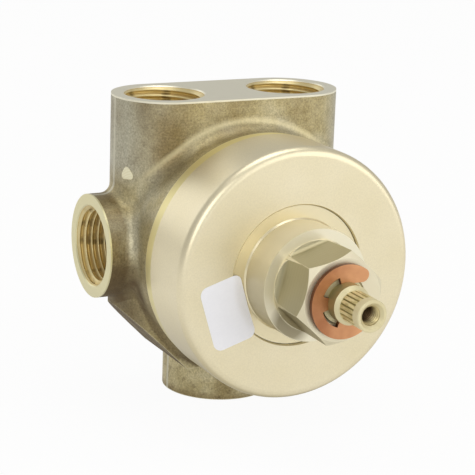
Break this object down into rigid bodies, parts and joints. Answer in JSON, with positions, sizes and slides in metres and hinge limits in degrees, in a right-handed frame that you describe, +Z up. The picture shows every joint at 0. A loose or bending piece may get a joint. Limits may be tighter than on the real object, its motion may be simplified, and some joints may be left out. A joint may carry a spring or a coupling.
{
  "type": "diverter valve",
  "caption": "Concealed brass diverter valve: forged body with threaded side, top and bottom ports, round screwed cap, hexagon bonnet and splined spindle that picks the outlet.",
  "frame": {"origin": "centre of the inlet port's mouth, on the flat end of its boss", "axes": "+Z up through the body to the two top ports, +X to the right port, -Y forward along the spindle"},
  "size_m": [0.0762, 0.0944, 0.0821],
  "materials": {
    "forged_brass": "blasted forging",
    "turned_brass": "turned and fine blasted",
    "spindle_brass": "bright turned",
    "clip_bronze": "stamped spring bronze",
    "ring_rubber": "matt",
    "disc_ceramic": "lapped",
    "moulded_plastic": "moulded",
    "pin_steel": "ground"
  },
  "bodies": {
    "housing": {"valve_body": "forged_brass", "front_cap": "turned_brass", "cap_ring": "ring_rubber", "bonnet": "turned_brass", "bonnet_ring": "ring_rubber", "inlet_seal": "ring_rubber", "outlet_seal_right": "ring_rubber", "outlet_seal_top_right": "ring_rubber", "outlet_seal_top_left": "ring_rubber", "outlet_seal_left": "ring_rubber", "fixed_disc": "disc_ceramic", "disc_pins": "pin_steel", "stop_pin": "pin_steel"},
    "rotor": {"spindle": "spindle_brass", "retaining_clip": "clip_bronze", "thrust_washer": "moulded_plastic", "spindle_ring_first": "ring_rubber", "spindle_ring_second": "ring_rubber", "disc_driver": "moulded_plastic", "rotor_disc": "disc_ceramic"}
  },
  "joints": [
    {"name": "spindle_turn", "type": "hinge", "parent": "housing", "child": "rotor", "pos_m": [0, 0, 0.0425], "axis": [0, -1, 0], "range_deg": [0, 180]}
  ]
}
